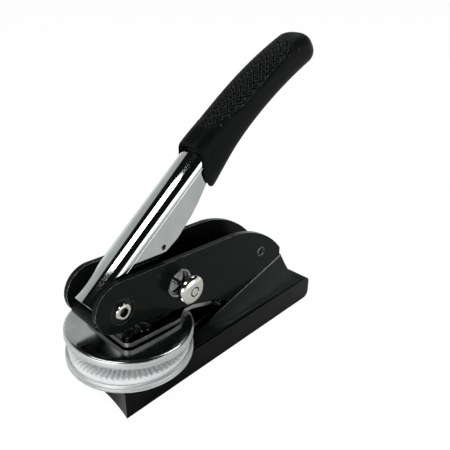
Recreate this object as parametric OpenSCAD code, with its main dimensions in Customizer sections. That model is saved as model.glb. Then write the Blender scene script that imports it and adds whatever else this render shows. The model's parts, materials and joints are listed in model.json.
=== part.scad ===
// Desk seal embosser: a lever press that squeezes a sheet between two round dies.
// The dies sit on the two leaves of a hairpin clip. A roller on the hand lever presses
// the upper leaf down; a push pin in the near side plate locks the lever down.
// Millimetres. +Z up, -Y towards the mouth (front), +Y towards the grip (rear).
// The origin is on the floor plane, under the axis of the dies.

/* [Base] */
// Half width of the base over its rails
base_half_w = 18; // [16.5:0.5:20]
// Height of the rail round the base
rail_h = 10.8; // [10:0.2:12]
// Front end of the base, ahead of the die axis
base_front = 16.2; // [14:0.2:20]
// Rear end of the base, behind the die axis
base_rear = 90; // [86:1:100]
// Depth of the hollow curve across the front end
front_notch = 1.9; // [1:0.1:3]
// Wall of the base casting
base_wall = 2.2; // [1.8:0.1:3]

/* [Side plates] */
// Outside width over the two side plates
plates_w = 19; // [18.6:0.2:21]
// Thickness of one side plate
plate_t = 2; // [1.8:0.1:2.2]
// Height of the plates' top edge over the floor at the front
plate_top = 48.8; // [48:0.2:52]
// Radius of the round front end of a plate
nose_r = 9.8; // [9:0.1:11]
// Radius of the rounded rear end of a plate
hump_r = 46; // [40:1:60]

/* [Dies] */
// Radius of the die holders
die_r = 24; // [22:0.5:26]
// Height of the metal rim of one die holder
holder_h = 3; // [2.8:0.1:3.2]
// How far the mouth of the clip stands open, in degrees
mouth_deg = 3.86; // [3.2:0.02:4.2]
// Number of radial teeth in the rim of the lower die
die_teeth = 72; // [48:2:90]
// Thickness of the clip's spring steel
leaf_t = 1.6; // [1.2:0.1:1.6]

/* [Lever and grip] */
// Outside half width of the lever channel
lever_half_w = 6; // [5.6:0.1:6]
// Wall of the lever channel
lever_wall = 1.5; // [1.2:0.1:1.8]
// Angle of the lever over the floor, at rest
lever_deg = 37.5; // [35:0.5:40]
// Stroke of the lever, in degrees
lever_stroke = 35; // [30:1:35]
// Where the grip ends, along the lever from its pivot
grip_end = 130; // [120:1:140]
// Half width of the grip
grip_half_w = 7; // [6.8:0.1:7]

/* [Lock pin] */
// Radius of the lock pin's domed head
lock_head_r = 5.9; // [5:0.1:6.5]
// Radius of the lock pin's shaft
lock_shaft_r = 2.4; // [2:0.1:2.6]
// Travel of the lock pin
lock_travel = 4.5; // [4:0.1:4.5]

/* [Hidden] */

$fn = 64;
fit = 0.05;                    // running fit of a shaft in its hole, on the radius
seat = 0.05;                   // gap between two faces that rest on each other
gap = 0.3;                     // gap between faces that move past each other
over = 1;                      // how far a cutting tool runs past a face

// --- plates and pivots, as [y, z]
plate_out = plates_w/2;
plate_in = plate_out - plate_t;
nose = [-9.4, plate_top - nose_r];
pivot = [-8.5, 37.2];
throat = [44.6, 15.7];         // where the plate's lower edge meets the base
plate_rear = 77.6;             // rear corner of the plates
rear_corner_z = 27.4;
front_pin = [-15.6, 34.2];
rear_pin = [64.2, 30.7];
lock_at = [17.9, 36.2];
plate_foot = 3;                // lower edge of the plates, inside the base
screw_r = 2;
tenon_r = 1.3;
spacer_r = 2.6;

// --- lever frame: d runs up the lever from the pivot, h square to it
web_h = 9.8;                   // outer face of the web over the pivot
web_r = 4;                     // outside bend radius from flange to web
lever_hi = 76;                 // upper end of the channel, inside the grip
grip_from = 55.5;              // mouth of the grip
bush_r = 3;
roller_r = 5;
roller_arm = 9.6;              // from the pivot to the roller
roller_deg = 48;               // roller from straight below the pivot, towards the rear
roller_pin_r = 1.5;
roller = pivot + roller_arm*[sin(roller_deg), -cos(roller_deg)];

// --- clip and die stack
deck_z = rail_h - leaf_t + 0.25;               // floor of the recess for the lower leaf
leaf_z = deck_z + seat;                        // underside of the lower leaf
stack_z = leaf_z + leaf_t + seat;              // underside of the lower holder
open_top = 23.36;                              // top of the upper holder at y = 0, mouth open
bend = [41.5, 13.6];                           // axis of the hairpin bend
leaf_edge = 13;                                // half width of the upper leaf's pad
neck_half_w = plate_in - 0.5;                  // between the plates
waist = plate_out - 0.1;                       // half width of the upper leaf under the plates
pad_front = -11;
pad_rear = 14;                                 // where the wide pads end
bend_in_r = 1;
// closed pose: height of the underside of the upper leaf, parallel to the floor
function turned(p, c, a) = c + [(p - c)[0]*cos(a) - (p - c)[1]*sin(a),
                                (p - c)[0]*sin(a) + (p - c)[1]*cos(a)];
closed_z = turned([0, open_top + seat], bend, mouth_deg)[1];
die_in_r = die_r - 1.3;        // radius of the white dies, inside the holders' rims
cup_floor = 1;
die_gap = 0.35;                // left between the closed dies
upper_proud = 0.7;             // upper die under its holder's rim
lower_top = closed_z - seat - holder_h - upper_proud - die_gap;
die_screw_at = [[-8, 0], [8, 0]];
die_screw_r = 1.5;

// a (y, z) outline, extruded along X from x0 to x1
module across(x0, x1) {
  translate([x0, 0, 0]) rotate([90, 0, 90]) linear_extrude(x1 - x0) children();
}
// a round bar along X at (y, z) = p
module bar(p, r, x0, x1) {
  translate([x0, p[0], p[1]]) rotate([0, 90, 0]) cylinder(r = r, h = x1 - x0);
}

// ---------------------------------------------------------------- base
skirt_slope = (rear_corner_z - throat[1])/(plate_rear - throat[0]);
skirt_from = throat[0] - (throat[1] - rail_h)/skirt_slope;
function skirt_top(y) = throat[1] + (y - throat[0])*skirt_slope;
function flare(u) = pow(max(0, 1 - u/0.92), 1.9);

// cross section of the flared skirt at y, as (x, z), set in by the wall w
function skirt_section(y, w, n) =
  let(x0 = plate_out - w, x1 = base_half_w - w, rise = max(skirt_top(min(y, plate_rear)) - rail_h, 0))
  concat([[x1, -over], [x1, rail_h - w]],
         [for (i = [n - 1:-1:0]) [x0 + (x1 - x0)*i/n, rail_h - w + rise*flare(i/n)]],
         [for (i = [0:n - 1]) [-x0 - (x1 - x0)*i/n, rail_h - w + rise*flare(i/n)]],
         [[-x1, rail_h - w], [-x1, -over]]);

// skin over the cross sections at the given y values
module skirt_sides(ys, w, n) {
  secs = [for (y = ys) [for (p = skirt_section(y, w, n)) [p[0], y, p[1]]]];
  c = len(secs[0]);
  m = len(ys);
  sides = [for (j = [0:m - 2]) for (i = [0:c - 1])
             let(a = j*c + i, b = j*c + (i + 1)%c)
             each [[a, b, b + c], [a, b + c, a + c]]];
  caps = [[for (i = [c - 1:-1:0]) i], [for (i = [0:c - 1]) (m - 1)*c + i]];
  polyhedron([for (s = secs) for (p = s) p], concat(sides, caps));
}
// side view of the skirt's rear end, hollow like the sides, its tip rounded
tip_r = 3;
module rear_profile(w, n) {
  lip = base_rear - 5;
  polygon(concat([[0, -2*over], [0, 60], [plate_rear - w, 60]],
                 [for (i = [0:n]) [plate_rear - w + (lip - plate_rear)*i/n,
                                   rail_h - w + (rear_corner_z - rail_h)*flare(i/n)]],
                 [for (a = [80:-10:0])
                   [base_rear - w - tip_r + tip_r*cos(a), rail_h - w - tip_r + tip_r*sin(a)]],
                 [for (a = [0:-10:-90]) [base_rear - w - tip_r + tip_r*cos(a), tip_r + tip_r*sin(a)]],
                 [[base_rear - w - tip_r, -2*over]]));
}
module skirt_form(w, n, m) {
  intersection() {
    skirt_sides([for (j = [0:m]) let(y = skirt_from + (plate_rear - skirt_from)*j/m)
                  j == m ? base_rear + 2*over : y], w, n);
    across(-base_half_w - over, base_half_w + over) rear_profile(w, n);
  }
}
boss_r = 3.4;
floor_t = 1.5;                 // thickness of the bottom plate
boss_front = -base_front + front_notch + base_wall + boss_r;
boss_rear = base_rear - base_wall - boss_r - tip_r;
boss_at = [for (x = [-1, 1]) for (y = [boss_front, boss_rear]) [x*(base_half_w - base_wall - boss_r), y]];
rivet_at = [[throat[0] + 7, 6.5], [plate_rear - 7, 6.5]];
module base_casting() {
  notch_r = (base_half_w*base_half_w + front_notch*front_notch)/(2*front_notch);
  inner_w = base_half_w - base_wall;
  inner_front = -base_front + front_notch + base_wall;
  color("#17181a") difference() {
    union() {
      difference() {
        union() {
          skirt_form(0, 24, 1);
          translate([-base_half_w, -base_front, 0])
            cube([2*base_half_w, skirt_from + base_front + over, rail_h]);
        }
        // hollow underneath
        skirt_form(base_wall, 7, 1);
        translate([-inner_w, inner_front, -over])
          cube([2*inner_w, skirt_from - inner_front, deck_z - base_wall + over]);
        translate([-inner_w, skirt_from - over, -over])
          cube([2*inner_w, 3*over, deck_z - base_wall + over]);
      }
      // seat block between the two plates
      translate([-plate_in + seat, throat[0] + 2, floor_t + seat])
        cube([2*(plate_in - seat), plate_rear - throat[0] - 4, deck_z - floor_t]);
      translate([-plate_out - over, throat[0] - 14, deck_z - base_wall])
        cube([2*(plate_out + over), plate_rear - throat[0] + 14, base_wall]);
      for (p = boss_at) translate([p[0], p[1], floor_t + seat])
        cylinder(r = boss_r, h = rail_h - base_wall - floor_t + 0.5);
      // cross ribs under the dies
      for (y = [0, 16, 32]) translate([-inner_w - seat, y, floor_t + seat])
        cube([2*(inner_w + seat), base_wall, deck_z - floor_t - over]);
    }
    translate([0, -base_front + front_notch - notch_r, -over])
      cylinder(r = notch_r, h = rail_h + 2*over, $fn = 200);
    translate([-base_half_w - over, -base_front - over, -2*over])
      cube([2*(base_half_w + over), base_rear + base_front + 4*over, 2*over]);
    // recess for the lower leaf, narrowing towards the channel between the plates
    translate([0, 0, deck_z]) linear_extrude(40)
      polygon([[-leaf_recess, -base_front - over], [leaf_recess, -base_front - over], [leaf_recess, 24],
               [plate_out + seat, skirt_from + 3], [plate_out + seat, plate_rear + seat],
               [-plate_out - seat, plate_rear + seat], [-plate_out - seat, skirt_from + 3],
               [-leaf_recess, 24]]);
    // slots for the plates
    for (s = [-1, 1])
      translate([s*(plate_in + plate_t/2) - plate_t/2 - seat, throat[0] - seat, plate_foot - seat])
        cube([plate_t + 2*seat, plate_rear - throat[0] + 2*seat, 20]);
    for (p = rivet_at) bar(p, tenon_r + fit, -plate_out - over, plate_out + over);
    for (p = boss_at) translate([p[0], p[1], -over]) cylinder(r = boss_screw_r + fit, h = 6 + over);
  }
}
leaf_recess = 10.9;
boss_screw_r = 1.2;
sink_r = 2.4;                  // countersunk head
sink_h = 1.2;
// steel plate that closes the hollow base, flush with its lower edge
module bottom_plate() {
  w = base_half_w - base_wall - gap/2;
  y0 = -base_front + front_notch + base_wall + gap/2;
  color("#3a3c3f") difference() {
    translate([-w, y0, 0]) cube([2*w, base_rear - base_wall - 3 - gap/2 - y0, floor_t]);
    for (p = boss_at) {
      translate([p[0], p[1], -over]) cylinder(r = boss_screw_r + fit, h = 4*over);
      translate([p[0], p[1], seat]) cylinder(r1 = sink_r + 2*fit, r2 = boss_screw_r + 2*fit, h = sink_h);
      translate([p[0], p[1], -over]) cylinder(r = sink_r + 2*fit, h = over + 2*seat);
    }
  }
}
module bottom_screws() {
  color("#8a8c8f") for (p = boss_at) translate([p[0], p[1], seat]) difference() {
    union() {
      cylinder(r1 = sink_r, r2 = boss_screw_r, h = sink_h);
      cylinder(r = boss_screw_r, h = 5.5);
    }
    for (a = [0, 90]) rotate(a) translate([-1.5, -0.25, -over]) cube([3, 0.5, over + 0.5]);
  }
}
// two rivets through the plates and the seat block of the base
module base_rivets() {
  color("#2a2b2d") for (p = rivet_at) bar(p, tenon_r, -plate_out - 0.3, plate_out + 0.3);
}

// ---------------------------------------------------------------- side plates
module plate_shape() {
  // straight run behind the nose, then the rounded hump down to the rear corner
  top_rear = [47.6, 44.9];
  h0 = [plate_rear, rear_corner_z];
  mid = (top_rear + h0)/2;
  half = norm(h0 - top_rear)/2;
  n = [(h0 - top_rear)[1], -(h0 - top_rear)[0]]/(2*half);
  c = mid + n*sqrt(hump_r*hump_r - half*half);
  union() {
    translate(nose) circle(r = nose_r, $fn = 96);
    polygon([[nose[0], nose[1] - nose_r], [6, 28.1], [19, 25], [35.8, 20.3], throat, [throat[0], plate_foot],
             [plate_rear, plate_foot], h0, top_rear, [28, 46.2], [nose[0], plate_top]]);
    intersection() {
      translate(c) circle(r = hump_r, $fn = 240);
      polygon([top_rear - [0, 6], h0 - [6, 0], h0, h0 + [4, 14], top_rear + [10, 8], top_rear]);
    }
  }
}
module side_plate(x0, lock_r) {
  difference() {
    across(x0, x0 + plate_t) plate_shape();
    bar(pivot, screw_r + fit, x0 - over, x0 + plate_t + over);
    bar(pivot, recess_r, sink_x, plate_out + over);
    bar(pivot, recess_r, -plate_out - over, -sink_x);
    for (p = concat([front_pin, rear_pin], rivet_at))
      bar(p, tenon_r + fit, x0 - over, x0 + plate_t + over);
    if (lock_r > 0) bar(lock_at, lock_r, x0 - over, x0 + plate_t + over);
  }
}
bush_out_r = 5.75;
module right_side_plate() {
  color("#141517") side_plate(plate_in, bush_out_r);
}
module left_side_plate() {
  color("#141517") side_plate(-plate_out, 0);
}
// bar between the plates, the stop of the lever, riveted through each plate
module front_spacer() {
  color("#202124") union() {
    bar(front_pin, spacer_r, -plate_in + seat, plate_in - seat);
    bar(front_pin, tenon_r, -plate_out - 0.3, plate_out + 0.3);
  }
}
module rear_rivet() {
  color("#202124") bar(rear_pin, tenon_r, -plate_out - 0.3, plate_out + 0.3);
}

// ---------------------------------------------------------------- lever pivot
washer_t = 0.4;
sink_x = plate_out - 1.1;      // floor of the round recess in a plate
head_x = sink_x + washer_t + 2*seat;
head_r = 3.2;
head_h = 1.7;
nut_h = 2.4;
recess_r = 4.9;
module pivot_bush() {
  color("#9a9c9f") difference() {
    bar(pivot, bush_r, -plate_in + seat, plate_in - seat);
    bar(pivot, screw_r + fit, -plate_in - over, plate_in + over);
  }
}
module pivot_washers() {
  color("#232426") for (s = [-1, 1]) let(x = s*(sink_x + seat + washer_t/2)) difference() {
    bar(pivot, recess_r - fit, x - washer_t/2, x + washer_t/2);
    bar(pivot, screw_r + fit, x - over, x + over);
  }
}
module pivot_screw() {
  color("#d8dadc") difference() {
    union() {
      bar(pivot, screw_r, -head_x - nut_h - 0.6, head_x + over);
      bar(pivot, head_r, head_x, head_x + head_h);
    }
    translate([head_x + 0.4, pivot[0], pivot[1]]) rotate([0, 90, 0])
      cylinder(r = 1.7, h = 5, $fn = 6);
  }
}
module pivot_nut() {
  color("#c9cbcd") difference() {
    translate([-head_x - nut_h, pivot[0], pivot[1]]) rotate([0, 90, 0]) cylinder(r = 3.9, h = nut_h, $fn = 6);
    bar(pivot, screw_r + fit, -head_x - nut_h - over, -head_x + over);
  }
}

// ---------------------------------------------------------------- lever
// a (d, h) outline in the lever frame, extruded along X
module in_lever(x0, x1) {
  translate([x0, pivot[0], pivot[1]]) rotate([lever_deg, 0, 0]) rotate([90, 0, 90])
    linear_extrude(x1 - x0) children();
}
// an (x, h) section in the lever frame, run along it from d0 to d1
module along_lever(d0, d1) {
  translate([0, pivot[0], pivot[1]]) rotate([lever_deg, 0, 0]) translate([0, d1, 0]) rotate([90, 0, 0])
    linear_extrude(d1 - d0) children();
}
roller_d = roller_arm*[cos(90 - roller_deg + lever_deg), -sin(90 - roller_deg + lever_deg)];
lock_dir = atan2(lock_at[1] - pivot[1], lock_at[0] - pivot[0]) - (lever_deg - lever_stroke);
lock_in_lever = norm(lock_at - pivot)*[cos(lock_dir), sin(lock_dir)];
lobe_r = 3;
lever_lo = -5.4;               // lower end of the web, along the lever
tail_h = 1;                    // lower edge of the flange inside the grip
nose_pin_r = 1;
pivot_eye_r = 4.7;
// the two flanges, seen from the side, as one plate from x0 to x1
module flange_form(x0, x1) {
  union() {
    in_lever(x0, x1) circle(r = pivot_eye_r);
    in_lever(x0, x1) translate(roller_d) circle(r = lobe_r);
    // round the pivot, up the web, back under the grip and along the bellied lower edge
    in_lever(x0, x1) polygon([
      [-4.4, -0.5], [-4.4, 3.2], [lever_lo, 4.6], [lever_lo, web_h + over],
      [lever_hi, web_h + over], [lever_hi, tail_h], [60, tail_h], [54, -0.9],
      [47, -3.2], [42, -4.3], [32.5, -5.2], [26.4, -4.4], [21.6, -3.9], [16, -5],
      roller_d + 0.6*lobe_r*[cos(20), sin(20)], roller_d + 0.6*lobe_r*[cos(200), sin(200)]]);
  }
}
module channel_section(w, r, h0) {
  union() {
    translate([-w, h0]) square([2*w, web_h - web_r - h0]);
    translate([-w + r, h0]) square([2*(w - r), web_h - web_r + r - h0]);
    for (s = [-1, 1]) translate([s*(w - r), web_h - web_r]) circle(r = r);
  }
}
module handle_lever() {
  color("#cfd2d4") difference() {
    intersection() {
      flange_form(-lever_half_w - over, lever_half_w + over);
      along_lever(-30, 100) channel_section(lever_half_w, web_r, -30);
    }
    along_lever(-31, 101) channel_section(lever_half_w - lever_wall, web_r - lever_wall, -31);
    bar(pivot, bush_r + fit, -plate_in, plate_in);
    bar(roller, roller_pin_r + fit, -plate_in, plate_in);
    in_lever(0, plate_in) translate(lock_in_lever) circle(r = nose_pin_r + fit);
  }
}
module roller_pin() {
  color("#bfc1c4") bar(roller, roller_pin_r, -lever_half_w - 0.3, lever_half_w + 0.3);
}
module press_roller() {
  w = lever_half_w - lever_wall - gap;
  color("#c7c9cb") difference() {
    bar(roller, roller_r, -w, w);
    bar(roller, roller_pin_r + fit, -w - over, w + over);
  }
}

// ---------------------------------------------------------------- grip
cap_len = 8;
cap_from = grip_end - cap_len;
function grip_mid(d) = 3.9 - 0.00345*pow(d - 75, 2);
function grip_half_h(d) = 7.3 + 0.018*(118 - d) + 1.9*exp(-pow((d - 57)/13, 2));
function cap(d) = d < cap_from ? 1 : sqrt(max(0.0004, 1 - pow((d - cap_from)/cap_len, 2)));
function pinch(d) = 1 - 0.02*pow(sin(180*(min(d, cap_from) - grip_from)/(cap_from - grip_from)), 2);
function soft(c, e) = sign(c)*pow(abs(c), e);
// cross section of the grip at d, a rounded square of n points
function grip_section(d, n) = [for (i = [0:n - 1]) let(a = 360*i/n)
  [grip_half_w*pinch(d)*cap(d)*soft(cos(a), 0.75), d,
   grip_mid(d) + grip_half_h(d)*cap(d)*soft(sin(a), 0.75)]];
module grip_skin(n, m, k) {
  ds = concat([for (j = [0:m - 1]) grip_from - 4 + (cap_from - grip_from + 4)*j/m],
              [for (j = [0:k]) cap_from + cap_len*sin(90*j/k)]);
  pts = [for (d = ds) for (p = grip_section(d, n)) p];
  r = len(ds);
  sides = [for (j = [0:r - 2]) for (i = [0:n - 1])
             let(a = j*n + i, b = j*n + (i + 1)%n)
             each [[a, b, b + n], [a, b + n, a + n]]];
  caps = [[for (i = [n - 1:-1:0]) i], [for (i = [0:n - 1]) (r - 1)*n + i]];
  polyhedron(pts, concat(sides, caps));
}
module handle_grip() {
  color("#1b1b1c") difference() {
    translate([0, pivot[0], pivot[1]]) rotate([lever_deg, 0, 0]) grip_skin(28, 20, 5);
    // slanted mouth
    in_lever(-20, 20) polygon([[30, -20], [grip_from, -20], [grip_from + 3, 20], [30, 20]]);
    // blind slot that the channel seats in, round a core that fills the channel
    difference() {
      intersection() {
        in_lever(-20, 20) translate([40, -1.2]) square([lever_hi + seat - 40, web_h + 5]);
        along_lever(30, 100) channel_section(lever_half_w + seat, web_r + seat, -30);
      }
      along_lever(29, 101)
        channel_section(lever_half_w - lever_wall - seat, web_r - lever_wall - seat, -31);
    }
  }
}

// ---------------------------------------------------------------- clip
function unit(a) = [cos(a), sin(a)];
function to_left(v) = [-v[1], v[0]]/norm(v);
function along(v) = v/norm(v);
// side view of a bent strip over the given line, t thick
module strip(line, t) {
  lap = 0.4*t;                 // how far the filling of a bend runs into the runs beside it
  union() {
    for (i = [0:len(line) - 2]) let(n = t*to_left(line[i + 1] - line[i]))
      polygon([line[i], line[i + 1], line[i + 1] + n, line[i] + n]);
    for (i = [1:1:len(line) - 2]) intersection() {
      translate(line[i]) circle(r = t);
      polygon([line[i], line[i] + 2*t*to_left(line[i + 1] - line[i]) + lap*along(line[i + 1] - line[i]),
               line[i] + 2*t*to_left(line[i] - line[i - 1]) - lap*along(line[i] - line[i - 1])]);
    }
  }
}
// plan of a leaf: wide pad, shoulders, waist and the narrow run to the bend
module leaf_plan(w, mid_w, mid_y) {
  r = 3;
  union() {
    translate([-w, pad_front + r]) square([2*w, pad_rear - pad_front - r]);
    translate([-w + r, pad_front]) square([2*(w - r), 2*r]);
    for (x = [-1, 1]) translate([x*(w - r), pad_front + r]) circle(r = r);
    polygon([[-w, pad_rear - over], [w, pad_rear - over], [w, pad_rear],
             [mid_w, pad_rear + 5], [mid_w, mid_y],
             [neck_half_w, mid_y + 3], [neck_half_w, 60], [-neck_half_w, 60], [-neck_half_w, mid_y + 3],
             [-mid_w, mid_y], [-mid_w, pad_rear + 5], [-w, pad_rear]]);
  }
}
bend_out_r = bend_in_r + leaf_t;
lower_pad_w = leaf_recess - 0.4;
lower_kink = die_r + 0.5;
lower_rise = bend - [lower_kink, leaf_z];
lower_slope = atan2(lower_rise[1], lower_rise[0]) - asin(bend_out_r/norm(lower_rise));
upper_line = [turned([34.2, 18.6], bend, mouth_deg), [die_r - 0.4, closed_z]];
upper_run = bend - upper_line[0];
upper_closed = atan2(upper_run[1], upper_run[0]) + asin((bend_in_r + gap/2)/norm(upper_run));
upper_slope = upper_closed - mouth_deg;        // slope of the last run over the floor, mouth open
module lower_leaf() {
  color("#1c1d1f") difference() {
    union() {
      intersection() {
        across(-30, 30) strip([[pad_front - over, leaf_z], [lower_kink, leaf_z],
                               bend + bend_out_r*unit(lower_slope - 90)], leaf_t);
        linear_extrude(60) leaf_plan(lower_pad_w, neck_half_w, pad_rear + 5);
      }
      // the hairpin bend
      across(-neck_half_w, neck_half_w) difference() {
        translate(bend) circle(r = bend_out_r);
        translate(bend) circle(r = bend_in_r);
        translate(bend) polygon([[0, 0], 9*unit(lower_slope - 91), 14*unit(180), 9*unit(upper_slope + 90)]);
      }
    }
    for (p = die_screw_at) translate([p[0], p[1], leaf_z - over])
      cylinder(r = die_screw_r + fit, h = leaf_t + 2*over);
  }
}
// children in the upper leaf's frame: closed pose turned open round the bend
module opened() {
  translate([0, bend[0], bend[1]]) rotate([-mouth_deg, 0, 0]) translate([0, -bend[0], -bend[1]]) children();
}
module upper_leaf() {
  foot = bend + (bend_in_r + gap/2)*unit(upper_closed + 90) - 0.5*unit(upper_closed);
  color("#1c1d1f") opened() difference() {
    intersection() {
      across(-30, 30) strip([[pad_front - over, closed_z], upper_line[1], upper_line[0], foot], leaf_t);
      linear_extrude(60) leaf_plan(leaf_edge, waist, 34);
    }
    for (p = die_screw_at) translate([p[0], p[1], closed_z]) {
      translate([0, 0, -over]) cylinder(r = die_screw_r + fit, h = leaf_t + 2*over);
      translate([0, 0, leaf_t - 0.6]) cylinder(r = 2.6 + fit, h = 2*over);
    }
  }
}

// ---------------------------------------------------------------- dies
// round metal cup, open to +Z, with a groove round its rim
module holder() {
  rotate_extrude($fn = 128) difference() {
    polygon([[0, 0], [die_r - 0.5, 0], [die_r, 0.5], [die_r, holder_h - 0.4],
             [die_r - 0.4, holder_h], [0, holder_h]]);
    translate([-over, cup_floor]) square([die_in_r + 0.2 + over, holder_h]);
    translate([die_r - 0.3, holder_h*0.45]) square([over, 0.35]);
  }
}
module screw_holes(z0, z1) {
  for (p = die_screw_at) translate([p[0], p[1], z0]) cylinder(r = die_screw_r + fit, h = z1 - z0);
}
module lower_die_holder() {
  color("#c4c7c8") translate([0, 0, stack_z]) difference() {
    holder();
    screw_holes(-over, 2*over);
  }
}
module upper_die_holder() {
  color("#c4c7c8") opened() translate([0, 0, closed_z - seat]) mirror([0, 0, 1]) difference() {
    holder();
    screw_holes(-over, 2*over);
  }
}
tooth_h = 0.5;
tooth_in = die_in_r - 6;
tooth_out = die_in_r - 0.3;
blind = 1.2;                   // depth of the screw holes in a die
module lower_die() {
  z0 = stack_z + cup_floor + seat;
  t = 360/die_teeth;
  color("#eceeed") difference() {
    union() {
      translate([0, 0, z0]) cylinder(r = die_in_r, h = lower_top - tooth_h - z0, $fn = 128);
      // ring of radial teeth, one closed outline
      translate([0, 0, lower_top - tooth_h - seat]) linear_extrude(tooth_h + seat)
        polygon([for (i = [0:die_teeth - 1])
                  each [tooth_in*unit(t*(i - 0.27)), tooth_out*unit(t*(i - 0.25)),
                        tooth_out*unit(t*(i + 0.25)), tooth_in*unit(t*(i + 0.27))]]);
    }
    translate([0, 0, z0]) screw_holes(-over, blind);
  }
}
module upper_die() {
  color("#eceeed") opened() translate([0, 0, closed_z - 2*seat - cup_floor]) mirror([0, 0, 1]) difference() {
    cylinder(r = die_in_r, h = holder_h - cup_floor - seat + upper_proud, $fn = 128);
    screw_holes(-over, blind);
  }
}
module upper_die_screws() {
  z0 = closed_z - seat - cup_floor - blind + gap;
  color("#8a8c8f") opened() for (p = die_screw_at) translate([p[0], p[1], 0]) union() {
    translate([0, 0, z0]) cylinder(r = die_screw_r, h = closed_z + leaf_t - z0 - seat);
    translate([0, 0, closed_z + leaf_t - 0.6 + seat]) cylinder(r = 2.6, h = 0.5);
  }
}
module lower_die_screws() {
  color("#8a8c8f") for (p = die_screw_at)
    translate([p[0], p[1], leaf_z]) cylinder(r = die_screw_r, h = leaf_t + 2*seat + cup_floor + blind - gap);
}

// ---------------------------------------------------------------- lock pin
lock_back = plate_out + lock_travel + 0.5;     // back of the head, pin out
bush_x0 = lever_half_w + 0.4;
bush_floor = 1;
shoulder_x = bush_x0 + bush_floor + lock_travel + gap;
// domed push pin: head, shaft and the thin nose that enters the lever
module lock_pin() {
  head_t = 3;
  color("#d8dadc") union() {
    bar(lock_at, lock_shaft_r, shoulder_x, lock_back + over);
    bar(lock_at, nose_pin_r, bush_x0, shoulder_x + over);
    translate([lock_back, lock_at[0], lock_at[1]]) rotate([0, 90, 0]) rotate_extrude()
      polygon(concat([[0, 0], [lock_head_r - 0.5, 0], [lock_head_r, 0.5]],
                     [for (a = [0:10:90]) [lock_head_r*cos(a), 0.9 + (head_t - 0.9)*sin(a)]]));
  }
}
// bright cup in the near plate that guides the nose of the pin
module lock_bush() {
  color("#b9bcbe") difference() {
    bar(lock_at, bush_out_r - seat, bush_x0, plate_out - 0.2);
    bar(lock_at, bush_out_r - 0.9, bush_x0 + bush_floor, plate_out + over);
    bar(lock_at, nose_pin_r + fit, 0, plate_out);
  }
}

base_casting();
bottom_plate();
bottom_screws();
left_side_plate();
right_side_plate();
base_rivets();
front_spacer();
rear_rivet();
pivot_screw();
pivot_nut();
pivot_washers();
pivot_bush();
handle_lever();
handle_grip();
press_roller();
roller_pin();
lower_leaf();
upper_leaf();
lower_die_holder();
upper_die_holder();
lower_die();
upper_die();
lower_die_screws();
upper_die_screws();
lock_pin();
lock_bush();
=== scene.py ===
import json
import math

import bmesh
import bpy
from mathutils import Matrix, Vector


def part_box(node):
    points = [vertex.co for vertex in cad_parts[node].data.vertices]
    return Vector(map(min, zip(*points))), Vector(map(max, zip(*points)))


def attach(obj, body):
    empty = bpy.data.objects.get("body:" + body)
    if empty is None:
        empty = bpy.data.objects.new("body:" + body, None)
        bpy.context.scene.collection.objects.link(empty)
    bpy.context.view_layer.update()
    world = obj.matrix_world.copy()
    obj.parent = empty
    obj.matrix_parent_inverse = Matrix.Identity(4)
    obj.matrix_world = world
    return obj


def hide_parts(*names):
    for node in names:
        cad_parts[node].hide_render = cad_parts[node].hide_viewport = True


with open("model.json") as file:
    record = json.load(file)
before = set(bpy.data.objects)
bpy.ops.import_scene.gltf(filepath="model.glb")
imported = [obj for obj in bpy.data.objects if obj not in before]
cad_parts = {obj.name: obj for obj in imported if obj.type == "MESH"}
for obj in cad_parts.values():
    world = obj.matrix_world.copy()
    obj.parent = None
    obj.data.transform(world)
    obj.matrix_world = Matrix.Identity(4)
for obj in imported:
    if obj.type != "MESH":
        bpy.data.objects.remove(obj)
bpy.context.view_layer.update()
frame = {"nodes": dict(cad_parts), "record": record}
MM = 0.001
scene = bpy.context.scene
nodes = frame["nodes"]

# ---------------------------------------------------------------- places and frames, in mm (y, z)
PIVOT_AT = (-8.5, 37.2)            # axis the lever turns on
PIN_AT = (17.9, 36.2)              # axis of the push pin
RIVET_AT = (64.2, 30.7)            # axis of the rear rivet
TILT = math.radians(37.5)          # lever over the floor, at rest
MOUTH_OPEN = math.radians(3.86)    # how far the clip stands open, at rest
PIVOT = Vector((0, *PIVOT_AT)) * MM
BEND = Vector((0, 41.5, 13.6)) * MM
LEVER = Matrix.Translation(PIVOT) @ Matrix.Rotation(TILT, 4, "X")
OPENED = Matrix.Translation(BEND) @ Matrix.Rotation(-MOUTH_OPEN, 4, "X") @ Matrix.Translation(-BEND)


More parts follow.
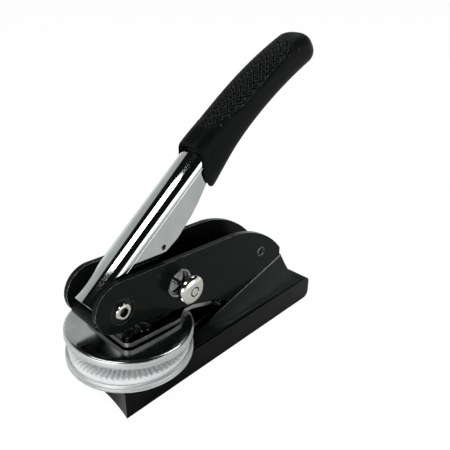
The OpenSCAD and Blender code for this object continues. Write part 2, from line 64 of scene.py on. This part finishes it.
# ---------------------------------------------------------------- shader maths
class Sock:
    """A shader socket or a plain number, with arithmetic that builds nodes."""

    def __init__(self, tree, value):
        self.tree, self.value = tree, value

    def node(self, kind, settings=None, inputs=None, out=0):
        """Any node: its settings, its inputs by name or number, and the output that is kept."""
        n = self.tree.nodes.new(kind)
        for key, val in (settings or {}).items():
            setattr(n, key, val)
        for key, val in (inputs or {}).items():
            put(self.tree, val, n.inputs[key])
        return Sock(self.tree, n.outputs[out])

    def math(self, op, *others):
        return self.node("ShaderNodeMath", {"operation": op}, dict(enumerate((self, *others))))

    def vec(self, op, *others, out=0):
        inputs = dict(enumerate((self, *others)))
        return self.node("ShaderNodeVectorMath", {"operation": op}, inputs, out)

    def xyz(self, axis):
        """One part of a vector."""
        return self.node("ShaderNodeSeparateXYZ", {}, {0: self}, out=axis)

    def __add__(self, o): return self.math("ADD", o)
    def __sub__(self, o): return self.math("SUBTRACT", o)
    def __mul__(self, o): return self.math("MULTIPLY", o)
    def __truediv__(self, o): return self.math("DIVIDE", o)
    def __radd__(self, o): return Sock(self.tree, o).math("ADD", self)
    def __rsub__(self, o): return Sock(self.tree, o).math("SUBTRACT", self)
    def __rmul__(self, o): return Sock(self.tree, o).math("MULTIPLY", self)
    def __rtruediv__(self, o): return Sock(self.tree, o).math("DIVIDE", self)
    def __neg__(self): return self.math("MULTIPLY", -1.0)
    def __abs__(self): return self.math("ABSOLUTE")

    def ramp(self, a, b, lo=0.0, hi=1.0):
        """Smooth step from lo at a to hi at b."""
        settings = {"interpolation_type": "SMOOTHSTEP", "clamp": True}
        return self.node("ShaderNodeMapRange", settings, {0: self, 1: a, 2: b, 3: lo, 4: hi})

    def mix(self, a, b):
        """Colour a where this is 0, b where it is 1."""
        return self.node("ShaderNodeMix", {"data_type": "RGBA"}, {0: self, 6: a, 7: b}, out=2)


def put(tree, val, socket):
    """Links a socket, or sets a plain value."""
    if isinstance(val, Sock):
        val = val.value
    if isinstance(val, bpy.types.NodeSocket):
        tree.links.new(val, socket)
    elif isinstance(val, (tuple, list)) and len(val) == 3 and len(socket.default_value) == 4:
        socket.default_value = (*val, 1.0)
    else:
        socket.default_value = val


def material(name, build):
    """Principled material whose inputs come from build(object coordinates)."""
    m = bpy.data.materials.new(name)
    m.use_nodes = True
    tree = m.node_tree
    bsdf = tree.nodes["Principled BSDF"]
    here = Sock(tree, tree.nodes.new("ShaderNodeTexCoord").outputs["Object"])
    for key, val in build(here).items():
        put(tree, val, bsdf.inputs[key])
    return m


def noise(p, scale, detail=3.0, rough=0.5, stretch=None):
    """Noise over object coordinates, scale in cycles per metre."""
    q = p.vec("MULTIPLY", stretch) if stretch else p
    inputs = {"Vector": q, "Scale": scale, "Detail": detail, "Roughness": rough}
    return p.node("ShaderNodeTexNoise", {}, inputs)


def normal_part(p, axis):
    """Size of one part of the surface's direction."""
    return abs(p.node("ShaderNodeNewGeometry", out=1).xyz(axis))


def off_axis(p, y, z):
    """Distance in mm from a line along X through y, z."""
    q = p.vec("SUBTRACT", (0.0, y * 0.001, z * 0.001)).vec("MULTIPLY", (0.0, 1.0, 1.0))
    return q.vec("LENGTH", out=1) * 1000.0


def in_lever(p, y, z):
    """Distance in mm from the pivot along y, z, a direction square to X."""
    return p.vec("SUBTRACT", tuple(PIVOT)).vec("DOT_PRODUCT", (0.0, y, z), out=1) * 1000.0


def bump(h, strength, distance, normal=None):
    """Normal from a height, over another normal if there is one."""
    inputs = {"Height": h, "Strength": strength, "Distance": distance}
    if normal is not None:
        inputs["Normal"] = normal
    return h.node("ShaderNodeBump", {}, inputs)


def gloss_black(p, bare_and_highlight=None, lift=None):
    """Stoved black enamel with orange peel, smudges and dust.

    Where its first mask is 1 it is painted a pale rubbed-through coat, partly wear and partly a
    painted edge highlight. With lift it is painted nearly black at 0 and lighter at 1: painted
    shade and painted light on the one enamel."""
    peel = noise(p, 900, 2.0)
    smudge = noise(p, 45, 5.0, 0.65)
    patches = smudge.ramp(0.35, 0.75)
    dust = noise(p, 3200, 1.0).ramp(0.71, 0.79)
    coat = patches.mix((0.0060, 0.0078, 0.0074), (0.0085, 0.0106, 0.0100))
    if lift is not None:
        # painted light and shade: a lighter coat where lift is 1, near black where it is 0
        painted_lit_coat = patches.mix((0.0205, 0.0252, 0.0232), (0.0255, 0.0308, 0.0284))
        coat = lift.mix((0.0025, 0.0030, 0.0028), painted_lit_coat)
    if bare_and_highlight is not None:
        # pale coat on the masked edges: partly rubbed-through wear, partly a painted highlight
        worn = bare_and_highlight * noise(p, 500, 3.0).ramp(0.25, 0.6, 0.45, 1.0)
        coat = worn.mix(coat, (0.80, 0.82, 0.80))
    return {"Base Color": coat, "Roughness": smudge.ramp(0.3, 0.8, 0.14, 0.26) + dust * 0.08,
            "Specular IOR Level": 0.07, "Normal": bump(peel, 0.05, 0.0002)}


def plate_black(p):
    """Enamel on the side plates, worn thin round their punched edges, where the pale coat is also a
    painted edge highlight.
    """
    across = normal_part(p, 0)
    return gloss_black(p, across.ramp(0.45, 0.60) * (1 - across.ramp(0.78, 0.92)))


def casting_black(p):
    """Enamel on the base: painted lighter on the flare and deep black on the rails, as painted
    light and shade, with painted highlight lines along the crease by the plates and at the top of
    the rails.
    """
    x, z = (abs(p.xyz(k)) * 1000.0 for k in (0, 2))
    beside_plates, rail_top, rail_side = 9.55, 10.6, 18.0
    # painted highlight: a thin light line along the crease where the flare meets the plates
    edge = (1 - abs(x - beside_plates).ramp(0.10, 0.34)) * z.ramp(12.0, 12.8)
    lip = normal_part(p, 2)
    sloping = lip.ramp(0.35, 0.6) * (1 - lip.ramp(0.80, 0.95))
    # painted highlight: a faint light line on the sloping faces at the top of the rails
    rim = sloping * (1 - abs(z - rail_top).ramp(0.25, 0.5)) * 0.25
    # painted light and shade: the flare gets the lighter coat and the rails the near black,
    # metallic one
    flare = z.ramp(9.6, 11.5) * (1 - abs(x - rail_side).ramp(0.9, 0.3))
    look = gloss_black(p, (edge * 0.32).math("MAXIMUM", rim), flare)
    look["Metallic"] = 1 - flare
    return look


def satin_black(p):
    """Blued spring steel and black fastenings."""
    grain = noise(p, 2600, 2.0)
    cloud = noise(p, 160, 4.0).ramp(0.3, 0.7)
    return {"Base Color": cloud.mix((0.006, 0.006, 0.0065), (0.014, 0.014, 0.0145)),
            "Roughness": grain.ramp(0.3, 0.7, 0.24, 0.36), "Specular IOR Level": 0.25,
            "Normal": bump(grain, 0.10, 0.0002)}


def metal(field, dark, light, rough, relief=None):
    """Bare metal: a noise field runs its colour between two, sets its roughness and its relief."""
    colour = field.ramp(0.3, 0.7).mix(dark, light)
    look = {"Base Color": colour, "Metallic": 1.0, "Roughness": rough}
    if relief:
        look["Normal"] = bump(field, *relief)
    return look


def chrome(p):
    smear = noise(p, 70, 4.0, 0.6)
    fine = noise(p, 5000, 1.0, 0.5)
    look = metal(smear, (0.53, 0.565, 0.54), (0.61, 0.645, 0.62),
                 smear.ramp(0.35, 0.8, 0.03, 0.08) + fine * 0.01)
    look["Normal"] = bump(noise(p, 120, 2.0), 0.03, 0.0005)
    return look


def pin_nickel(p):
    """Nickelled pin and screw heads, a little warm and not quite sharp."""
    smear = noise(p, 200, 3.0, 0.6)
    return metal(smear, (0.62, 0.61, 0.56), (0.74, 0.73, 0.67), smear.ramp(0.3, 0.8, 0.12, 0.20),
                 (0.01, 0.0002))


def screw_nickel(p):
    """Pivot screw: nickelled head, with painted shade down in its socket."""
    look = pin_nickel(p)
    outside = off_axis(p, *PIVOT_AT).ramp(1.55, 1.95)
    # painted shade: the socket is painted dark
    look["Base Color"] = outside.mix((0.05, 0.048, 0.042), look["Base Color"])
    return look


def button_nickel(p):
    """Push pin: nickelled head, with painted shade in the groove turned round its middle."""
    look = pin_nickel(p)
    groove_r = 1.74
    outside = abs(off_axis(p, *PIN_AT) - groove_r).ramp(0.12, 0.34)
    # painted shade: the groove ring is painted dark
    look["Base Color"] = outside.mix((0.04, 0.039, 0.035), look["Base Color"])
    return look


def rivet_black(p):
    """Oiled black ends of the rear rivet, with painted shade down in their dish."""
    smear = noise(p, 300, 3.0, 0.6)
    look = metal(smear, (0.080, 0.085, 0.082), (0.120, 0.126, 0.122),
                 smear.ramp(0.3, 0.8, 0.12, 0.22), (0.02, 0.0002))
    outside = off_axis(p, *RIVET_AT).ramp(1.45, 1.75)
    # painted shade: the dish is painted dark
    look["Base Color"] = outside.mix((0.010, 0.011, 0.0105), look["Base Color"])
    return look


def lever_chrome(p):
    """Chrome on the folded lever, whose web comes out of the press a little crowned."""
    look = chrome(p)
    side = abs(p.xyz(0)) * 1000.0
    # the crown is a parabola to 2 mm from the middle, and flattens out again over the next 4 mm
    flat = side.math("MINIMUM", 2.0)
    bend = (side - 2.0).math("MAXIMUM", 0.0).math("MINIMUM", 4.0)
    crown = (flat * flat / -27.0 - bend * 0.148 + bend * bend * 0.0185) * 0.001
    up = in_lever(p, -math.sin(TILT), math.cos(TILT))
    crease_at = 5.55
    crease = abs(up - crease_at).ramp(0.0, 0.22, -0.00007, 0.0) * side.ramp(5.0, 5.6)
    look["Normal"] = bump(crown + crease, 1.0, 1.0, bump(noise(p, 60, 1.0), 0.008, 0.0005))
    return look


def bright_steel(p):
    rings = noise(p, 1800, 3.0, 0.6, (0.05, 1.0, 1.0))
    return metal(rings, (0.46, 0.47, 0.47), (0.60, 0.61, 0.61), rings.ramp(0.3, 0.7, 0.14, 0.28),
                 (0.08, 0.0002))


def cup_polish(p):
    """Top of the upper die cup: polished, but softer than the lever."""
    smear = noise(p, 90, 4.0, 0.6)
    return metal(smear, (0.44, 0.465, 0.45), (0.54, 0.565, 0.55), smear.ramp(0.3, 0.8, 0.12, 0.19),
                 (0.02, 0.0003))


def clip_steel(p):
    """Blued spring steel, bright along the sheared edges, painted near white at the front tip as a
    highlight; the bright edges stop short of the bend.
    """
    grain = noise(p, 1800, 3.0, 0.6, (1.0, 0.1, 1.0))
    run = p.xyz(1)
    edge = (1 - normal_part(p, 2).ramp(0.55, 0.93)) * (1 - run.ramp(0.026, 0.033))
    look = metal(grain, (0.10, 0.10, 0.102), (0.16, 0.16, 0.162),
                 grain.ramp(0.3, 0.7, 0.12, 0.22) + edge * 0.22, (0.04, 0.0002))
    # painted highlight: the edge colour is near white at the front tip and greyer further back
    lip = run.ramp(-0.019, -0.010).mix((0.92, 0.93, 0.925), (0.40, 0.41, 0.405))
    look["Base Color"] = edge.mix(look["Base Color"], lip)
    return look


def gunmetal(p):
    """Turned steel cup that guides the push pin."""
    rings = noise(p, 1200, 2.0, 0.6, (4.0, 0.2, 0.2))
    return metal(rings, (0.22, 0.223, 0.22), (0.36, 0.364, 0.36), rings.ramp(0.3, 0.7, 0.06, 0.13),
                 (0.04, 0.0002))


def turned_rim(p):
    """Brushed tinplate of the die cups, turned round their rims."""
    lines = noise(p, 700, 3.0, 0.6, (0.15, 0.15, 6.0))
    return metal(lines, (0.66, 0.69, 0.675), (0.80, 0.83, 0.815), lines.ramp(0.3, 0.7, 0.34, 0.46),
                 (0.05, 0.0002))


def die_white(p):
    grain = noise(p, 2400, 3.0)
    cloud = noise(p, 90, 4.0)
    return {"Base Color": cloud.ramp(0.3, 0.7).mix((0.84, 0.865, 0.86), (0.90, 0.92, 0.915)),
            "Roughness": grain.ramp(0.3, 0.7, 0.32, 0.46), "Subsurface Weight": 0.1,
            "Subsurface Radius": (0.001, 0.001, 0.001), "Normal": bump(grain, 0.08, 0.0002)}


def grip_rubber(p):
    """Black rubber, painted greyer along the convex edges of the knurl as a highlight."""
    grain = noise(p, 2600, 3.0, 0.6)
    worn = noise(p, 60, 4.0, 0.6)
    run = in_lever(p, math.cos(TILT), math.sin(TILT))
    knurled = run.ramp(67.0, 70.0) * (1 - run.ramp(118.5, 120.5))
    convex = p.node("ShaderNodeNewGeometry", out=7).ramp(0.510, 0.548)
    # painted highlight: the knurl's convex edges are painted grey, broken up by noise
    painted_ridge_highlight = convex * knurled * noise(p, 700, 3.0).ramp(0.35, 0.65, 0.25, 1.0)
    skin = worn.ramp(0.3, 0.75).mix((0.0030, 0.0038, 0.0036), (0.0058, 0.0067, 0.0064))
    return {"Base Color": painted_ridge_highlight.mix(skin, (0.055, 0.060, 0.058)),
            "Roughness": worn.ramp(0.3, 0.8, 0.40, 0.50) + grain * 0.05, "Specular IOR Level": 0.05,
            "Normal": bump(grain, 0.10, 0.0002)}


MATS = {name: material(name, build) for name, build in (
    # one for each slot of the record
    ("painted_casting", gloss_black), ("painted_steel", gloss_black),
    ("blackened_steel", satin_black), ("chrome_plate", chrome), ("bright_steel", bright_steel),
    ("die_rim", turned_rim), ("die_plastic", die_white), ("grip_rubber", grip_rubber),
    # finishes of single pieces
    ("lever_chrome", lever_chrome), ("plate_black", plate_black), ("casting_black", casting_black),
    ("cup_polish", cup_polish), ("clip_steel", clip_steel), ("gunmetal", gunmetal),
    ("pin_nickel", pin_nickel), ("rivet_black", rivet_black), ("screw_nickel", screw_nickel),
    ("button_nickel", button_nickel))}


# ---------------------------------------------------------------- CAD nodes: finish and soft edges
BEVEL = {"base_casting": 0.4, "left_side_plate": 0.4, "right_side_plate": 0.4, "handle_lever": 0.2,
         "upper_leaf": 0.35, "lower_leaf": 0.18, "pivot_washers": 0.15, "pivot_nut": 0.25,
         "lock_bush": 0.2, "bottom_plate": 0.15, "lower_die": 0, "pivot_screw": 0.25,
         "handle_grip": 0, "lock_pin": 0.15}
SMALL_BEVEL = 0.12
FINISH = {"base_casting": "casting_black", "handle_lever": "lever_chrome", "lock_bush": "gunmetal",
          "left_side_plate": "plate_black", "right_side_plate": "plate_black",
          "upper_leaf": "clip_steel", "lower_leaf": "clip_steel",
          "rear_rivet": "rivet_black", "upper_die_screws": "pin_nickel"}


def dress(obj, mat, width):
    """Gives a CAD node its finish, and bevels its sharp edges without touching its mesh."""
    obj.data.materials.clear()
    obj.data.materials.append(mat)
    if not width:
        return
    weld = obj.modifiers.new("weld", "WELD")
    weld.merge_threshold = 0.002 * MM
    flat = obj.modifiers.new("flat_faces", "DECIMATE")
    flat.decimate_type, flat.angle_limit = "DISSOLVE", math.radians(0.4)
    edge = obj.modifiers.new("bevel", "BEVEL")
    edge.width, edge.segments = width * MM, 3
    edge.limit_method, edge.angle_limit = "ANGLE", math.radians(35)
    edge.harden_normals = False
    normals = obj.modifiers.new("normals", "WEIGHTED_NORMAL")
    normals.keep_sharp = False
    normals.weight = 80


for sub in frame["record"]["subparts"]:
    finish = FINISH.get(sub["node"], sub["material_slot"])
    dress(nodes[sub["node"]], MATS[finish], BEVEL.get(sub["node"], SMALL_BEVEL))


# ---------------------------------------------------------------- pieces of our own
def new_piece(name, verts, faces, mat, matrix, body, sharp):
    """A mesh from points in mm, in its own frame, that rides on a body.

    Edges of more than sharp degrees stay sharp."""
    me = bpy.data.meshes.new(name)
    me.from_pydata([tuple(c * MM for c in v) for v in verts], [], faces)
    bm = bmesh.new()
    bm.from_mesh(me)
    bmesh.ops.remove_doubles(bm, verts=bm.verts, dist=1e-7)
    bmesh.ops.recalc_face_normals(bm, faces=bm.faces)
    bm.to_mesh(me)
    bm.free()
    me.transform(matrix)
    me.materials.append(MATS[mat])
    for face in me.polygons:
        face.use_smooth = True
    me.set_sharp_from_angle(angle=math.radians(sharp))
    o = bpy.data.objects.new(name, me)
    scene.collection.objects.link(o)
    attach(o, body)
    return o


def skin(name, rings):
    """Rubber piece on the lever, from rings of as many points each."""
    n = len(rings[0])
    faces = [(j * n + i, j * n + (i + 1) % n, (j + 1) * n + (i + 1) % n, (j + 1) * n + i)
             for j in range(len(rings) - 1) for i in range(n)]
    verts = [point for ring in rings for point in ring]
    return new_piece(name, verts, faces, "grip_rubber", LEVER, "lever", 60)


# ---------------------------------------------------------------- grip, with its diamond knurl
# d runs along the lever from the pivot and a round the section, with 90 degrees at the top
GRIP_FROM, GRIP_END, CAP = 55.5, 130.4, 7.6
CAP_FROM = GRIP_END - CAP
HALF_W = 7.0
AROUND, ALONG, CAP_RINGS = 176, 380, 16
ANGLES = [2 * math.pi * i / AROUND for i in range(AROUND)]
# half width of the knurled panel along the grip
PANEL = ((68.5, -1.0), (70, 2.4), (74, 4.2), (78.5, 5.6), (85, 7.6), (95, 7.4), (102.5, 7.1),
         (111.5, 6.2), (116.5, 5.2), (118.5, 3.0), (119.3, -1.0))
PITCH, SLOPE, GROOVE = 4.1, 1.3, 0.62
# where the mouth of the grip begins, from its underside (-1) to its top (1)
MOUTH = ((-1.0, 57.6), (-0.8, 56.6), (-0.67, 55.8), (-0.58, 55.2), (-0.48, 54.8), (-0.35, 54.45),
         (-0.2, 54.4), (-0.08, 54.6), (0.0, 55.0), (0.1, 56.1), (0.2, 57.3), (0.4, 58.6),
         (0.7, 59.6), (1.0, 60.2))


def smooth(x, a, b):
    """Smooth step from 0 at a to 1 at b."""
    t = min(1.0, max(0.0, (x - a) / (b - a)))
    return t * t * (3 - 2 * t)


def soft(c, e):
    """Power that keeps the sign, for the squarish sections."""
    return math.copysign(abs(c) ** e, c)


def along_table(x, table):
    """Straight-line reading of a short table of (x, value)."""
    for (x0, v0), (x1, v1) in zip(table, table[1:]):
        if x <= x1:
            return v0 + (v1 - v0) * max(0.0, (x - x0) / (x1 - x0))
    return table[-1][1]


def grip_mid(d):
    """Middle of the section: the grip bows over its length."""
    return 3.9 - 0.003 * (d - 75) ** 2


def grip_half_h(d):
    """Half height, which tapers to the end and swells at the mouth."""
    return 7.55 + 0.015 * (118 - d) + 1.9 * math.exp(-(((d - 57) / 13) ** 2))


def cap(d):
    """Share of the section that is left in the rounded end."""
    return 1.0 if d < CAP_FROM else math.sqrt(max(0.0, 1 - ((d - CAP_FROM) / CAP) ** 2))


def pinch(d):
    """Share of the width: the grip is a little narrower half way."""
    half_turn = math.pi * (min(d, CAP_FROM) - GRIP_FROM) / (CAP_FROM - GRIP_FROM)
    return 1 - 0.02 * math.sin(half_turn) ** 2


def grip_point(d, a, inset=0.0):
    """Point on the grip's skin, or inset under it."""
    w = HALF_W * pinch(d) * cap(d) - inset
    h = grip_half_h(d) * cap(d) - inset
    aside, above = max(w, 0) * soft(math.cos(a), 0.75), max(h, 0) * soft(math.sin(a), 0.75)
    return (aside, d, grip_mid(d) + above)


def knurl(d, t):
    """Depth of the diamond grooves at d, with t the arc length from the top line."""
    room = along_table(d, PANEL) - abs(t)
    inside = smooth(room, -0.1, 0.5)
    depth = 0.0
    for u in (d + SLOPE * t, d - SLOPE * t):
        off = abs((u / PITCH) % 1.0 - 0.5) * PITCH
        depth = max(depth, 1 - smooth(off, 0.05, 0.46))
    rim = smooth(room, -1.3, -0.7) * (1 - smooth(room, -0.5, 0.1))
    return GROOVE * depth * inside + 0.20 * rim


def channel_point(a):
    """The outline that the mouth closes down to: the lever's channel with a hair of room."""
    h = 2.7 + (7.2 if math.sin(a) > 0 else 6.4) * soft(math.sin(a), 0.62)
    return (6.06 * soft(math.cos(a), 0.5), h)


def grip_cover():
    """Skin of the grip, from a point in the core out over the mouth's face and up the outside."""
    def mouth(a):
        return along_table(math.sin(a), MOUTH)

    rings = [[(0.0, 64.0, 2.7)] * AROUND]
    # the face of the mouth: share of the way out from the lever, and how far it is sunk
    for share, sink in ((0.0, 3.0), (0.0, 0.9), (0.12, 0.62), (0.5, 0.50), (0.78, 0.35)):
        ring = []
        for a in ANGLES:
            d = mouth(a) + sink
            (x0, h0), (x1, _, h1) = channel_point(a), grip_point(d, a)
            ring.append((x0 + (x1 - x0) * share, d, h0 + (h1 - h0) * share))
        rings.append(ring)
    # its rounded lip: distance along, and inset
    for ahead, inset in ((0.10, 0.55), (0.0, 0.30), (0.12, 0.12), (0.4, 0.03), (0.9, 0.0)):
        rings.append([grip_point(mouth(a) + ahead, a, inset) for a in ANGLES])
    arc_r, panel_reach = 6.6, 10
    for j in range(1, ALONG + 1):
        ring = []
        for a in ANGLES:
            lip = mouth(a) + 0.9
            d = lip + (CAP_FROM - lip) * j / ALONG
            t = (a - math.pi / 2) * arc_r
            ring.append(grip_point(d, a, knurl(d, t) if abs(t) < panel_reach else 0.0))
        rings.append(ring)
    for k in range(1, CAP_RINGS + 1):
        d = CAP_FROM + CAP * math.sin(math.pi / 2 * k / CAP_RINGS)
        rings.append([grip_point(d, a) for a in ANGLES])
    o = skin("grip_cover", rings)
    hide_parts("handle_grip")


def grip_core():
    """The core that fills the channel behind the mouth, domed a little towards the roller."""
    half_w, height, below = 4.35, 8.1, 1.6
    rings = [[(0.0, 57.1, 2.4)] * AROUND]
    for d, shrink in ((57.4, 0.5), (57.0, 0.25), (57.2, 0.1), (57.8, 0.0), (74.0, 0.0)):
        rings.append([((half_w - shrink) * soft(math.cos(a), 0.5),
                       d + 0.03 * (half_w - abs(half_w * math.cos(a))),
                       height / 2 - below + (height / 2 + below - shrink) * soft(math.sin(a), 0.45))
                      for a in ANGLES])
    rings.append([(0.0, 74.0, 2.4)] * AROUND)
    skin("grip_core", rings)


grip_cover()
grip_core()


# ---------------------------------------------------------------- turned pieces
def lathe(name, profile, mat, matrix, body, n, sharp, wave=None):
    """Turned piece from (r, z) points in mm, n sided; wave(a, r, z) may move each point."""
    verts, faces = [], []
    m = len(profile)
    for i in range(n):
        a = 2 * math.pi * i / n
        for r, z in profile:
            if wave:
                r, z = wave(a, r, z)
            verts.append((r * math.cos(a), r * math.sin(a), z))
    for i in range(n):
        for j in range(m - 1):
            p, q = i * m + j, ((i + 1) % n) * m + j
            faces.append((p, q, q + 1, p + 1))
    return new_piece(name, verts, faces, mat, matrix, body, sharp)


def across(x, y, z):
    """Turning axis along X, from (x, y, z) in mm towards the near side."""
    return Matrix.Translation(Vector((x, y, z)) * MM) @ Matrix.Rotation(math.radians(90), 4, "Y")


def upper_cup():
    """Upper holder: dished polished top with a bead, and a light turned rim with a groove."""
    paper, proud, cup_h = 0.35, 0.7, 3.0
    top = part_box("lower_die")[1].z / MM + paper + proud + cup_h
    # radius and drop below the bead, out along the top and back under it
    dish = ((0.0, 0.9), (8, 0.86), (14, 0.72), (18, 0.45), (20.4, 0.16), (21.6, 0.03), (22.4, 0),
            (22.9, 0.02), (23.35, 0.12), (23.6, 0.30), (23.72, 0.55), (22.6, 0.6), (18, 0.8),
            (0.0, 0.93))
    rim = ((0.0, 0.96), (22.6, 0.96), (23.3, 0.42), (23.72, 0.5), (23.92, 0.66), (23.98, 0.9),
           (23.98, 1.5), (23.9, 1.58), (23.9, 1.66), (23.98, 1.74), (23.98, 2.6), (23.93, 2.8),
           (23.75, 2.94), (23.45, 3.0), (22.95, 3.0), (22.9, 2.9), (22.9, 1.0), (0.0, 1.0))
    o = lathe("upper_cup_dish", [(r, top - drop) for r, drop in dish], "cup_polish", OPENED,
              "upper_jaw", 192, 60)
    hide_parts("upper_die_holder")
    lathe("upper_cup_rim", [(r, top - drop) for r, drop in rim], "die_rim", OPENED,
          "upper_jaw", 192, 35)


def pivot_head():
    """Socket head screw: rounded head with a hexagon socket, and its shank through the bush."""
    head_h, socket_r = 1.7, 1.7
    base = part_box("pivot_screw")[1].x / MM - head_h
    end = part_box("pivot_screw")[0].x / MM - base
    flat_r = socket_r * math.cos(math.pi / 6)
    HEX = 100.0

    def hexagon(a, r, z):
        """A radius over HEX is a share of the socket's, and follows its flats."""
        if r < HEX:
            return r, z
        turn = (a + math.pi / 6) % (math.pi / 3) - math.pi / 6
        return (r - HEX) * flat_r / math.cos(turn), z

    profile = [(0.0, 0.25), (HEX + 0.4, 0.4), (HEX + 0.98, 0.42), (HEX + 1.0, 0.5),
               (HEX + 1.0, 1.52), (HEX + 1.09, 1.64), (2.05, 1.69), (2.35, 1.7), (2.62, 1.67),
               (2.88, 1.56), (3.07, 1.38), (3.18, 1.14), (3.2, 0.85), (3.2, 0.12), (3.08, 0.0),
               (2.0, 0.0), (2.0, end + 0.4), (1.7, end), (0.0, end)]
    o = lathe("pivot_screw_turned", profile, "screw_nickel", across(base, *PIVOT_AT), "frame",
              144, 32, hexagon)
    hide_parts("pivot_screw")


def push_button():
    """Push pin: domed head with a ring turned into its face, shaft and thin nose."""
    head_h = 3.0
    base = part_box("lock_pin")[1].x / MM - head_h
    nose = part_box("lock_pin")[0].x / MM - base
    profile = [(0.0, 2.93), (1.3, 2.93), (1.44, 2.88), (1.54, 2.62), (1.72, 2.54), (1.9, 2.62),
               (2.0, 2.88), (2.12, 2.97), (2.35, 2.99), (2.75, 2.96), (3.3, 2.87), (3.9, 2.71),
               (4.5, 2.47), (5.0, 2.19), (5.35, 1.88), (5.6, 1.5), (5.7, 1.1), (5.72, 0.6),
               (5.64, 0.25), (5.4, 0.06), (5.1, 0.0), (2.4, 0.0), (2.4, -2.1), (2.2, -2.3),
               (1.0, -2.3), (1.0, nose + 0.3), (0.7, nose), (0.0, nose)]
    o = lathe("push_pin_turned", profile, "button_nickel", across(base, *PIN_AT), "push_pin",
              192, 38)
    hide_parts("lock_pin")


def peened_rivet():
    """Rear rivet: each end is punched to a dished ring that stands a little over the plate."""
    lo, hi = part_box("rear_rivet")
    y, z = (lo.y + hi.y) / (2 * MM), (lo.z + hi.z) / (2 * MM)
    half = hi.x / MM
    end = [(0.0, 0.0), (0.45, -0.03), (0.8, -0.24), (1.3, -0.26), (1.65, -0.10), (1.85, 0.0),
           (2.05, -0.02), (2.2, -0.12), (2.26, -0.29), (1.2, -0.32)]
    profile = [(r, half + h) for r, h in end] + [(r, -half - h) for r, h in reversed(end)]
    o = lathe("rear_rivet_turned", profile, "rivet_black", across(0, y, z), "frame", 96, 30)
    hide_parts("rear_rivet")


upper_cup()
pivot_head()
push_button()
peened_rivet()


# ---------------------------------------------------------------- stage and light
def paper_floor():
    """Pale floor that takes the shadow. It reads as white in the frame, and in the chrome from
    further off, where the sheet would otherwise fall into the dark."""
    m = bpy.data.materials.new("paper_floor")
    m.use_nodes = True
    tree = m.node_tree
    here = Sock(tree, tree.nodes.new("ShaderNodeTexCoord").outputs["Object"])
    paper = noise(here, 6, 3.0).ramp(0.3, 0.7).mix((0.88, 0.88, 0.885), (0.91, 0.91, 0.915))
    sheet = here.node("ShaderNodeBsdfDiffuse", {}, {"Color": paper})
    white = here.node("ShaderNodeEmission", {}, {"Color": (1.0, 1.0, 1.0), "Strength": 1.07})
    rays = tree.nodes.new("ShaderNodeLightPath").outputs
    seen, shiny, through = (Sock(tree, rays[f"Is {kind} Ray"])
                            for kind in ("Camera", "Glossy", "Transmission"))
    mirrored = shiny.math("MAXIMUM", through)
    away = here.vec("LENGTH", out=1).ramp(0.16, 0.42, 0.05, 0.95)
    share = (seen * 0.90).math("MAXIMUM", mirrored * away)
    surface = here.node("ShaderNodeMixShader", {}, {0: share, 1: sheet, 2: white})
    put(tree, surface, tree.nodes["Material Output"].inputs[0])
    return m


def room():
    """World: a pale band round the horizon that climbs higher on the left, under a dark ceiling.

    The camera itself sees white."""
    world = bpy.data.worlds.new("world")
    scene.world = world
    world.use_nodes = True
    tree = world.node_tree
    way = Sock(tree, tree.nodes.new("ShaderNodeTexCoord").outputs["Generated"])
    side, height = way.xyz(0), way.xyz(2)
    wall_top = (-side).ramp(0.15, 0.7, 0.27, 0.66)
    wall = height.ramp(-0.1, 0.6).mix((1.0, 1.0, 1.0), (0.55, 0.555, 0.56))
    shade = (height - wall_top).ramp(-0.03, 0.03).mix(wall, (0.008, 0.008, 0.009))
    straight = way.node("ShaderNodeLightPath")
    put(tree, straight.mix(shade, (1.0, 1.0, 1.0)), tree.nodes["Background"].inputs["Color"])


def towards(az, el):
    """Direction from the object to azimuth az and elevation el, in radians."""
    return Vector((math.sin(az) * math.cos(el), -math.cos(az) * math.cos(el), math.sin(el)))


def softbox(name, az, el, far, wide, tall, glow):
    """Soft lamp seen at az, el from the object, wide by tall metres, of brightness glow."""
    out = towards(math.radians(az), math.radians(el))
    lamp = bpy.data.lights.new(name, "AREA")
    lamp.shape, lamp.size, lamp.size_y = "RECTANGLE", wide, tall
    lamp.energy = glow * math.pi * wide * tall
    o = bpy.data.objects.new(name, lamp)
    o.location = Vector((0, 0.03, 0.05)) + out * far
    o.rotation_mode = "QUATERNION"
    o.rotation_quaternion = (-out).to_track_quat("-Z", "Y")
    scene.collection.objects.link(o)


bpy.ops.mesh.primitive_plane_add(size=6, location=(0, 0, 0))
floor = bpy.context.object
floor.name = "floor"
floor.data.materials.append(paper_floor())
room()
softbox("overhead_strip", 1, 61, 0.9, 0.68, 0.23, 7.0)
softbox("right_panel", 105, 7, 0.9, 0.66, 0.36, 2.1)
softbox("front_fill", 20, 11, 1.0, 0.60, 0.34, 4.6)
softbox("rear_fill", -165, 52, 1.0, 0.60, 0.22, 6.0)

# ---------------------------------------------------------------- camera, fitted to the photograph
PICTURE, FOCAL = 450, 536.1        # both in pixels
AZ, EL, ROLL = (math.radians(v) for v in (46.89, 26.47, -0.96))
back = towards(AZ, EL)
right = Vector((0, 0, 1)).cross(back).normalized()
up = back.cross(right)
turn, lean = math.cos(ROLL), math.sin(ROLL)
right, up = right * turn + up * lean, up * turn - right * lean
eye = Vector((-51.31, 79.65, 20)) * MM + back * (281.63 * MM)
cam_data = bpy.data.cameras.new("camera")
cam = bpy.data.objects.new("camera", cam_data)
scene.collection.objects.link(cam)
cam.matrix_world = Matrix([(*row,) for row in zip(right, up, back, eye)] + [(0, 0, 0, 1)])
cam_data.lens = FOCAL * cam_data.sensor_width / PICTURE
cam_data.shift_x, cam_data.shift_y = 0.0805, -0.0165
cam_data.clip_start, cam_data.clip_end = 0.01, 20
scene.camera = cam
scene.view_settings.view_transform = "Standard"
scene.view_settings.look = "None"
